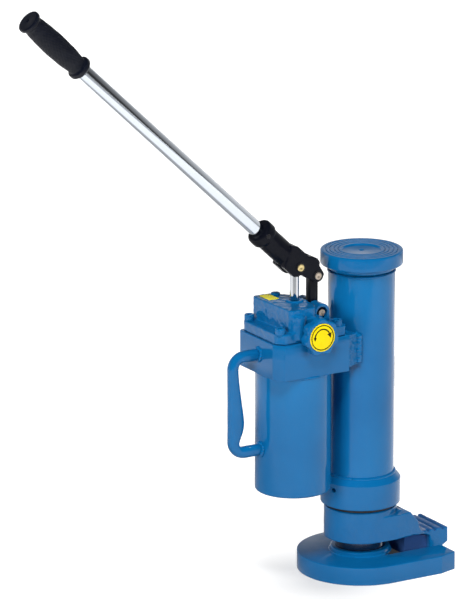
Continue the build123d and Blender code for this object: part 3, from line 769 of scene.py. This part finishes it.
def make_pump_head():
    seat, base = HOUSING_HIGH.z + 0.6, FLANGE_TOP - 3
    fx0, fx1, half, ear_end = low("pump_head").x, HOUSING_HIGH.x - 1, 46.0, EAR_PIN.x + EAR_R
    spindle_z, corner_x, corner_y = 345, -121, -38
    flange = prism("flange", rounded([
        (fx0 + 9, -half, 3), (fx1 - 4, -half, 2), (fx1, 5 - half, 2), (fx1, half - 5, 2),
        (fx1 - 4, half, 2), (fx0 + 5, half, 3), (fx0, half - 5, 3), (fx0, 9 - half, 3)]), seat, FLANGE_TOP)
    ridge = prism("ridge", rounded([
        (-134, -38, 3), (-130, -42, 3), (-96, -42, 6), (-90, -27, 8), (-86.5, -2, 8), (-88.5, 12, 6),
        (-93, 30, 6), (-112, 48, 5), (-135, 48, 2.5), (-137.5, 45, 2.5)]), base, RIDGE_TOP)
    body = melt(join("pump_head_skin", [
        flange, ridge,
        upright("corner", 11, FLANGE_TOP - 10, 371, corner_x, corner_y),
        upright("dome", 8, 370, 373, corner_x, corner_y),
        disc_rod("ears", EAR_R, EAR_PIN.x, EAR_PIN.z, -EAR_HALF, EAR_HALF),
        box_solid("web", EAR_PIN.x - 14, ear_end, -EAR_HALF, EAR_HALF, base, EAR_PIN.z),
        disc_rod("boss", 15, KNOB.x, spindle_z, -47, -38),
        box_solid("shoulder", -112, -86, -44, -20, base, 366),
        disc_rod("pad", 9, -84, 351, -44, -24)]), 0.75, 8)
    weathered(body, 0.48, 8, 3.0)
    cuts = [box_solid("below_seat", -160, -40, -60, 60, 320, seat),
            box_solid("fork", -88, ear_end + 4, -FORK_HALF, FORK_HALF, 352, 400),
            disc_rod("pin_hole", 5.05, EAR_PIN.x, EAR_PIN.z, -40, 40),
            upright("plunger_bore", 6.3, 330, 400, PLUNGER.x),
            upright("gland_bore", 12.05, 371, 400, PLUNGER.x),
            disc_rod("spindle_bore", 5.1, KNOB.x, spindle_z, -60, -14)]
    cuts += [disc_rod("ear_face", 8.2, EAR_PIN.x, EAR_PIN.z, *sorted((side * 19, side * 32)))
             for side in SIDES]
    for x, y in SCREW_PLACES:
        cuts += [upright("screw_hole", 4.05, 330, 360, x, y),
                 upright("head_room", 7.4, FLANGE_TOP - 0.4, 364, x, y)]
    carve(body, cuts)
    blue_piece(body, stands_for=["pump_head"], material=blue_cast, sharp=38)


def knurl_and_socket(angle, radius, height):
    """Knurl on a cap screw's head, and the six flats of its socket."""
    if radius > 6 and height < SCREW_TOP - 0.8:
        return 0.13 * cos(40 * angle)
    if 3.0 <= radius <= 3.65 and height >= FLANGE_TOP + 2:
        across = (angle % (pi / 3)) - pi / 6
        return -radius * (1 - cos(pi / 6) / cos(across))
    return 0


def make_screws():
    top, seat = SCREW_TOP, FLANGE_TOP - 0.4
    profile = [(0, 322, 0), (4, 322, 0.6), (4, seat, 0), (6.35, seat, 0.3), (6.35, top - 1.0, 0),
               (6.2, top, 0.8), (3.9, top, 0.4), (3.6, top - 0.5, 0), (3.5, top - 4.6, 0),
               (0, top - 5.4, 0)]
    screws = [shifted(spin("screw", profile, 120, 3, knurl_and_socket), x, y) for x, y in SCREW_PLACES]
    blue_piece(join("cap_screw_set", screws), stands_for=["cap_screws"])


def make_head_trim():
    x, y, top = -108.0, 38.0, 382.4
    plug = spin("filler_cap", [(0, 368, 0), (4, 368, 0.5), (4, RIDGE_TOP, 0), (6.2, RIDGE_TOP, 0.3),
                               (6.2, top - 0.6, 2.0), (0, top, 0)], 64, 5)
    shifted(plug, x, y)
    carve(plug, [box_solid("slot", x - 9, x + 9, y - 0.8, y + 0.8, top - 1.3, top + 3)])
    blue_piece(plug, stands_for=["filler_plug"])
    x, top, bore, seat = PLUNGER.x, high("plunger_gland").z, 6.4, 375
    gland = spin("gland_ring", [(bore, seat, 0), (12, seat, 0), (12, top - 0.6, 0.8), (10.8, top, 0.5),
                                (7.2, top, 0.6), (bore, top - 1.2, 0), (bore, seat, 0)], 96, 4)
    shifted(gland, x)
    carve(gland, [box_solid("slot", *sorted((x + side * 9, x + side * 14)), -1, 1, 379, 384)
                  for side in SIDES])
    finish_piece(gland, "cylinder", blue, ["plunger_gland"])
    (x0, y0, z0), (x1, y1, z1) = low("head_label"), high("head_label")
    plate = prism("head_plate_label", rounded([(x0, y0, 0.8), (x1, y0, 0.8), (x1, y1, 0.8), (x0, y1, 0.8)]),
                  z0 - 0.1, z1 + 0.1)
    finish_piece(plate, "cylinder", yellow_painted_lit, ["head_label"])


# ---- carrying handle
HANDLE_TOP, HANDLE_LOW = 314.9, 186.0       # heights of its two arms


def handle_stations():
    """Outer and inner points along the handle, in X and Z, with the half thickness there."""
    hx, r, bend, fillet = low("carry_handle").x, 7.8, 24.0, 6.0
    wall, tank_side, c = HOUSING_LOW.x, TANK.x - 46.0, hx + bend

    def corner(start, outer_z, inner_x, inner_z, half):
        return [((c + bend * cos(a), outer_z + bend * sin(a)),
                 (inner_x + fillet * cos(a), inner_z + fillet * sin(a)), half)
                for a in map(radians, range(start, start + 91, 10))]

    swell = [(299, -188.2), (286, -187.4), (264, -184.4), (250, -182.2), (238, -180.4), (231, -179.5),
             (225, -179.1), (219, -179.7), (213, -181.6), (208, -184), (204, -185.6)]
    top_arm = [((x, HANDLE_TOP + r), (x, HANDLE_TOP - r), 7.2)
               for x in (wall + 1, wall - 6, wall - 12, wall - 18)]
    bar = [((hx, z), (x, z), 6.6 + 0.5 * (z < 245)) for z, x in swell]
    low_arm = [((x, HANDLE_LOW - r), (x, HANDLE_LOW + r), 6.8) for x in (-172, -166, -160, tank_side)]
    return (top_arm + corner(90, HANDLE_TOP + r - bend, c - 3.5, HANDLE_TOP - r - fillet, 7.0) + bar
            + corner(180, HANDLE_LOW - r + bend, c - 2.5, HANDLE_LOW + r + fillet, 6.8) + low_arm)


def make_handle():
    """Rounded bar swept along its stations, and the welds at both ends."""
    around, squareness = 32, 0.82
    verts, rings = [], []
    for (ox, oz), (ix, iz), half in handle_stations():
        centre, reach = Vector(((ox + ix) / 2, 0, (oz + iz) / 2)), Vector(((ox - ix) / 2, 0, (oz - iz) / 2))
        for k in range(around):
            a = 2 * pi * k / around
            ca, sa = cos(a), sin(a)
            verts.append(centre + reach * (abs(ca) ** squareness * (1 if ca > 0 else -1))
                         + Vector((0, half * abs(sa) ** squareness * (1 if sa > 0 else -1), 0)))
    handle = clean(new_object("handle", verts, tube_faces(len(verts) // around, around)))
    subdivide = handle.modifiers.new("smooth", "SUBSURF")
    subdivide.levels = subdivide.render_levels = 1
    settle(handle)
    weathered(handle, 0.16, 12, 7.0)
    blue_piece(handle, stands_for=["carry_handle"], sharp=50)
    for x, z in ((HOUSING_LOW.x - 0.4, HANDLE_TOP), (TANK.x - 50.2, HANDLE_LOW)):
        turns = [2 * pi * k / 110 for k in range(110)]
        ring = [(x + 0.7 * sin(3 * a), 7.6 * cos(a), z + 8.4 * sin(a)) for a in turns]
        rings.append(bead("handle_weld", ring, 1.9, ripple=0.7, pitch=3.6, closed=True))
    blue_piece(join("handle_welds", rings))


# ---- release knob
PRINT_R = 11.2      # middle of the curved arrow


def make_knob():
    back, face, bore = 51.0, -low("release_knob").y, 5.05
    r, dip, lobes, lobe_turn, recess = 25.5, 3.2, 7, 0.22, face - 0.6
    plate_r, plate_face = 18.6, face - 0.12

    def star(angle, radius, height):
        share = min(1.0, max(0.0, (radius - 19.6) / 3.5))
        return -share * dip * (1 - cos(lobes * (angle + lobe_turn))) / 2

    knob = spin("knob", [
        (bore, back, 0), (22, back, EDGE_R), (r - 0.2, back + 2.2, 2.0), (r, face - 2.2, 1.6),
        (24.2, face, 1.4), (19.4, face, 0.5), (18.9, recess, 0.2), (bore, recess, 0), (bore, back, 0)],
        224, 5, star)
    blue_piece(along_y(knob, KNOB.x, KNOB.z), "release_valve", ["release_knob"])
    plate = spin("knob_plate", [(0, recess, 0), (plate_r, recess, 0), (plate_r, plate_face, 0.2),
                                (0, plate_face, 0)], 128, 3)
    finish_piece(along_y(plate, KNOB.x, KNOB.z), "release_valve", yellow, ["knob_label"])
    low_z, high_z, inner, outer = plate_face - 0.05, plate_face + 0.05, 15.5, 16.9
    ring = lathe("knob_ring", [(inner, low_z), (outer, low_z), (outer, high_z), (inner, high_z),
                               (inner, low_z)])
    band = [p[:2] for p in arc(12.1, 22, 176, 40) + arc(10.3, 176, 22, 40)]
    marks = [band, arrow_head(178, -1, 2.4, 4.2), arrow_head(20, 1, 3.4, 6.0)]
    printed = join("knob_print", [ring] + [prism("mark", mark, low_z, high_z) for mark in marks])
    finish_piece(along_y(printed, KNOB.x, KNOB.z), "release_valve", ink)


def arrow_head(angle, sense, half, length):
    """Arrow head at the end of the curved band; sense is -1 on the left and +1 on the right."""
    a = radians(angle)
    end, out = Vector((cos(a), sin(a))) * PRINT_R, Vector((cos(a), sin(a)))
    on = Vector((sin(a), -cos(a))) * sense
    return [tuple(c) for c in (end + out * half - on * 1.0, end - out * half - on * 1.0, end + on * length)]


# ---- link, socket, pins
LEVER_ANGLE, LEVER_AXIS_Z = 43.5, 0.5
BAR_START, BAR_END, GRIP_START, GRIP_END = -30.0, -535.0, -431.0, -539.0
CHEEK_HALF, PIN_HOLE_R = 15.4, 5.02


def into_lever(point):
    """X and Z of a point in the lever's own frame: X along the bar, origin on the plunger pin."""
    x, z, a = point.x - EYE_PIN.x, point.z - EYE_PIN.z, radians(LEVER_ANGLE)
    return x * cos(a) - z * sin(a), x * sin(a) + z * cos(a)


PIN_X, PIN_Z = into_lever(TOP_PIN)


def lever_piece(made, material, stands_for, sharp=32):
    """Turn a piece from the lever's own frame to its place, and finish it."""
    finish_piece(turned(made, "Y", LEVER_ANGLE, EYE_PIN), "lever", material, stands_for, sharp)


def make_link():
    half, end_r, waist, hole_r = 5.6, 9.0, 5.7, 5.05
    x, z0, z1 = EAR_PIN.x, EAR_PIN.z, TOP_PIN.z
    spread = 180 / pi * atan2(sqrt(end_r ** 2 - waist ** 2), waist)
    ends = arc(end_r, 180 - spread, 360 + spread, 40, 0, z0) + arc(end_r, -spread, 180 + spread, 40, 0, z1)
    link = prism("link", [(x + a, b) for a, b, _ in ends], -half, half, "Y")
    carve(link, [disc_rod("hole", hole_r, x, z, -10, 10) for z in (z0, z1)])
    soften_edges(link, 0.7, 3, 40)
    finish_piece(link, "link", black, ["link_arm"])


def make_socket():
    axis, barrel_low, barrel_high = LEVER_AXIS_Z + 0.9, -64, -17.5
    mouth_r, mouth_start, mouth_end = 18, -61, -77.5
    barrel = along_x(lathe("barrel", [(0, barrel_low), (CHEEK_HALF, barrel_low), (CHEEK_HALF, barrel_high),
                                      (0, barrel_high)], 96))
    mouth = along_x(spin("mouth", [(0, mouth_end, 0), (mouth_r, mouth_end, 4), (mouth_r, mouth_start, 4),
                                   (0, mouth_start, 0)], 96))
    for piece in (barrel, mouth):
        shifted(piece, z=axis)
    nose = arc(8.6, -100, 10, 11, PIN_X, PIN_Z)
    plan = [(-20, -14.8, 2.2), (1.5, -14.8, 4), (5.6, -11.5, 3), (8.2, -6.0, 2.5), (16, -5.3, 5)]
    plan += nose + [(35.5, 15.2, 3), (27.5, 17.5, 1.5), (21.9, 19.0, 1.5), (19.8, 22.6, 4), (13.4, 24.2, 4),
                    (6.8, 22.4, 4), (0.8, 18.3, 2.5), (-22, 18.3, 4), (-31, 13.4, 3)]
    cheeks = prism("cheeks", rounded(plan), -CHEEK_HALF, CHEEK_HALF, "Y")
    socket = melt(join("socket", [barrel, mouth, cheeks]), 0.75, 5)
    weathered(socket, 0.14, 8, 11.0)
    bore = along_x(upright("bore", 10.02, -90, -30, steps=96))
    carve(socket, [box_solid("fork", -21.9, 60, -FORK_HALF, FORK_HALF, -40, 40),
                   disc_rod("eye_hole", PIN_HOLE_R, 0, 0, -30, 30),
                   disc_rod("link_hole", PIN_HOLE_R, PIN_X, PIN_Z, -30, 30),
                   disc_rod("screw_hole", 3.05, -70, axis, -30, 30), shifted(bore, z=LEVER_AXIS_Z)])
    lever_piece(socket, black, ["lever_socket"], 38)


def pin(name, x, z, half, radius=5.0):
    """Turned pin along Y with chamfered ends and a centre mark."""
    return along_y(spin(name, [
        (0, -half + 0.7, 0), (1.2, -half, 0), (radius, -half, 0.7), (radius, half, 0.7), (1.2, half, 0),
        (0, half - 0.7, 0)], 64, 4), x, z)


def clips(name, places, y):
    """Open retaining rings round pins, on both sides."""
    made = []
    for x, z in places:
        for side in SIDES:
            outline = [p[:2] for p in arc(6.7, -60, 240, 48, x, z) + arc(5.0, 240, -60, 48, x, z)]
            made.append(prism("clip", outline, *sorted((side * y, side * (y + 1.0))), "Y"))
    return join(name, made)


def make_pins():
    half = 16.6
    lever_piece(pin("eye_pin", 0, 0, half), pin_brass, ["plunger_pin"])
    lever_piece(pin("upper_pin", PIN_X, PIN_Z, half), pin_steel_top, ["link_pin_upper"])
    finish_piece(pin("lower_pin", EAR_PIN.x, EAR_PIN.z, 25.0), "cylinder", pin_steel_low,
                 ["link_pin_lower"])
    lever_piece(clips("lever_rings", ((0, 0), (PIN_X, PIN_Z)), CHEEK_HALF), dark_steel,
                ["lever_circlips"])
    finish_piece(clips("ear_rings", ((EAR_PIN.x, EAR_PIN.z),), 19.3), "cylinder", dark_steel,
                 ["ear_circlips"])


# ---- bar and grip
def make_bar():
    r, bore_r = 10, 7.5
    bar = spin("bar", [(bore_r, BAR_END, 0.2), (r, BAR_END, 0.5), (r, -300, 0), (r, BAR_START, 0.5),
                       (bore_r, BAR_START, 0.2), (bore_r, BAR_END, 0)], 160, 3)
    lever_piece(shifted(along_x(bar), z=LEVER_AXIS_Z), bar_chrome, ["lever_bar"])


def make_grip():
    end = GRIP_END + 1.9
    barrel_low, barrel_high = end + 9.0, -442.6

    def pebbles(angle, radius, height):
        if not barrel_low < height < barrel_high or radius < 11:
            return 0
        fade = min(1.0, (height - barrel_low) / 2, (barrel_high - height) / 2)
        left, right = sin(15 * angle + 1.15 * height), sin(15 * angle - 1.15 * height)
        return 0.80 * fade * (abs(left) * abs(right) - 0.5)

    barrel = [(-529, 12.7), (-517, 13.8), (-505, 14.6), (-487, 15.2), (-465, 14.5), (-442, 12.4)]
    heights = [barrel_low + k * (barrel_high - barrel_low) / 160 for k in range(161)]

    def radius_at(height):
        for (xa, ra), (xb, rb) in zip(barrel, barrel[1:]):
            if height <= xb:
                t = max(0.0, (height - xa) / (xb - xa))
                return ra + (rb - ra) * t * t * (3 - 2 * t)
        return barrel[-1][1]

    profile = rounded([(0, end + 3.5, 0), (2.0, end + 3.5, 0.3), (2.4, end + 0.3, 0.4), (13.6, end, 1.6),
                       (15.7, end + 1.2, 1.4), (15.7, end + 4.6, 1.6), (12.7, end + 7.4, 1.2),
                       (12.7, end + 8.6, 0)], closed=False, steps=5)
    profile += [(radius_at(h), h) for h in heights]
    profile += rounded([(12.4, -442.4, 0), (12.5, -441.0, 1.0), (15.9, -439.6, 1.8), (15.9, -434.4, 2.2),
                        (12.6, GRIP_START, 1.4), (10.02, GRIP_START, 0.3), (10.02, BAR_END - 0.1, 0),
                        (0, BAR_END - 0.1, 0)], closed=False, steps=5)
    grip = lathe("grip", profile, 240, wobble=pebbles)
    lever_piece(shifted(along_x(grip), z=LEVER_AXIS_Z), rubber, ["hand_grip"], 60)


# ---- carried-over nodes
def dress_nodes():
    """Smooth shading and a material on every CAD node, by its slot in the record."""
    special = {"valve_spindle": dark_steel, "plunger": plunger_chrome}
    for part in frame["record"]["subparts"]:
        node = frame["nodes"][part["node"]]
        node.data.materials.clear()
        node.data.materials.append(special.get(part["node"]) or SLOT_MATERIALS[part["material_slot"]])
        node.data.shade_smooth()
        node.data.set_sharp_from_angle(angle=radians(28))


# ---- studio
PAPER_FRONT = 1.12      # metres in front of the object, where reflections see the paper end
# places of the painted shadows on the floor
UNDER_FORK, UNDER_COLUMN, UNDER_LEVER = (0.050, 0.0, 0), (-0.075, -0.035, 0), (-0.27, 0.34, 0)  # metres


def make_floor():
    """Pale paper that glows a little.  Its colour and glow carry painted shadows: dark under the fork, and
    less glow round a point under the left of the foot.  Reflections see it end in front of the object, and
    see painted shade on it far behind and below the lever."""
    floor = prism("floor", [(-9000, -9000), (9000, -9000), (9000, 9000), (-9000, 9000)], -20, 0)
    s = Shader("floor_paper", (0.42, 0.42, 0.42), roughness=0.8)
    s.tint(s.span(s.noise(3, 2.0), 0.3, 0.7, 0.0, 0.4), (0.40, 0.405, 0.41))
    fork = s.against("DISTANCE", UNDER_FORK)
    # painted shadow: the paper is coloured dark grey under the fork
    s.tint(s.span(fork, 0.045, 0.070, 1.0, 0.0), (0.06, 0.06, 0.065))
    s.set("Specular IOR Level", 0.0)
    s.set("Emission Color", (1.0, 1.0, 1.0, 1.0))
    path = s.add("ShaderNodeLightPath")
    seen, mirrored = path.outputs["Is Camera Ray"], path.outputs["Is Glossy Ray"]
    glow = s.span(s.maths("MAXIMUM", seen, mirrored), 0.0, 1.0, 0.30, 0.92)
    edge = s.facing(PAPER_FRONT - 0.1, PAPER_FRONT + 0.1, 1.0, 0.06)
    glow = s.times(glow, s.maths("MAXIMUM", seen, edge))
    # painted shadows in the glow: under the fork and round a point under the left of the foot
    glow = s.times(glow, s.span(fork, 0.050, 0.075, 0.03, 1.0))
    glow = s.times(glow, s.span(s.against("DISTANCE", UNDER_COLUMN), 0.02, 0.15, 0.45, 1.0))
    # painted shade seen only in reflections: far behind the object and below the lever
    for shade in (s.facing(-1.35, -1.15, 0.8, 0.0),
                  s.span(s.against("DISTANCE", UNDER_LEVER), 0.30, 0.48, 0.88, 0.0)):
        glow = s.times(glow, s.maths("SUBTRACT", 1.0, s.times(mirrored, shade)))
    s.link(glow, s.surface.inputs["Emission Strength"])
    floor.data.materials.append(s.material)


def make_world():
    """White behind the object and dark overhead and in front; plain white where the camera sees it."""
    world = bpy.data.worlds.new("studio")
    world.use_nodes = True
    w = Nodes(world.node_tree, "Generated")
    sky = w.times(w.span(w.split(w.place)[2], 0.05, 0.42, 0.95, 0.10), w.facing(-0.55, 0.25, 1.0, 0.05))
    background = w.tree.nodes["Background"]
    seen = w.add("ShaderNodeLightPath").outputs["Is Camera Ray"]
    w.link(w.maths("MAXIMUM", sky, seen), background.inputs["Color"])
    background.inputs["Strength"].default_value = 1.0
    bpy.context.scene.world = world


def area_light(name, place, target, size, watts, size_y=None):
    data = bpy.data.lights.new(name, "AREA")
    data.shape, data.size, data.size_y = "RECTANGLE", size, size_y or size
    data.energy = watts
    lamp = in_scene(name, data)
    lamp.location = place
    lamp.rotation_euler = (Vector(target) - Vector(place)).to_track_quat("-Z", "Y").to_euler()
    return lamp


def make_studio():
    make_floor()
    make_world()
    aim = (-0.1, 0, 0.25)
    soft = [area_light("left_box", (-3.1, -1.6, 1.1), aim, 1.3, 78, 1.2),
            area_light("right_box", (1.9, -2.7, 1.1), aim, 1.6, 49, 1.4),
            area_light("top_box", (-0.9, -1.4, 2.9), aim, 0.9, 56),
            area_light("back_box", (1.4, 3.0, 1.3), aim, 1.4, 26)]
    for lamp in soft:
        lamp.visible_glossy = False
    area_light("spark", (-0.7, -1.6, 2.6), aim, 0.10, 9)
    bpy.context.scene.view_settings.view_transform = "Standard"


def make_camera():
    azimuth, elevation, distance = radians(-30.91), radians(15.86), 7.5
    target = Vector((-0.1875, 0, 0.3923))
    back = Vector((sin(azimuth) * cos(elevation), -cos(azimuth) * cos(elevation), sin(elevation)))
    data = bpy.data.cameras.new("camera")
    data.lens, data.sensor_width = 349.8, 36.0
    camera = in_scene("camera", data)
    camera.location = target + back * distance
    camera.rotation_euler = (-back).to_track_quat("-Z", "Y").to_euler()
    bpy.context.scene.camera = camera


dress_nodes()
for make in (make_foot, make_toe, make_column, make_collar, make_tank, make_housing, make_saddle,
             make_pump_head, make_screws, make_head_trim, make_handle, make_knob, make_link,
             make_socket, make_pins, make_bar, make_grip, make_studio, make_camera):
    make()
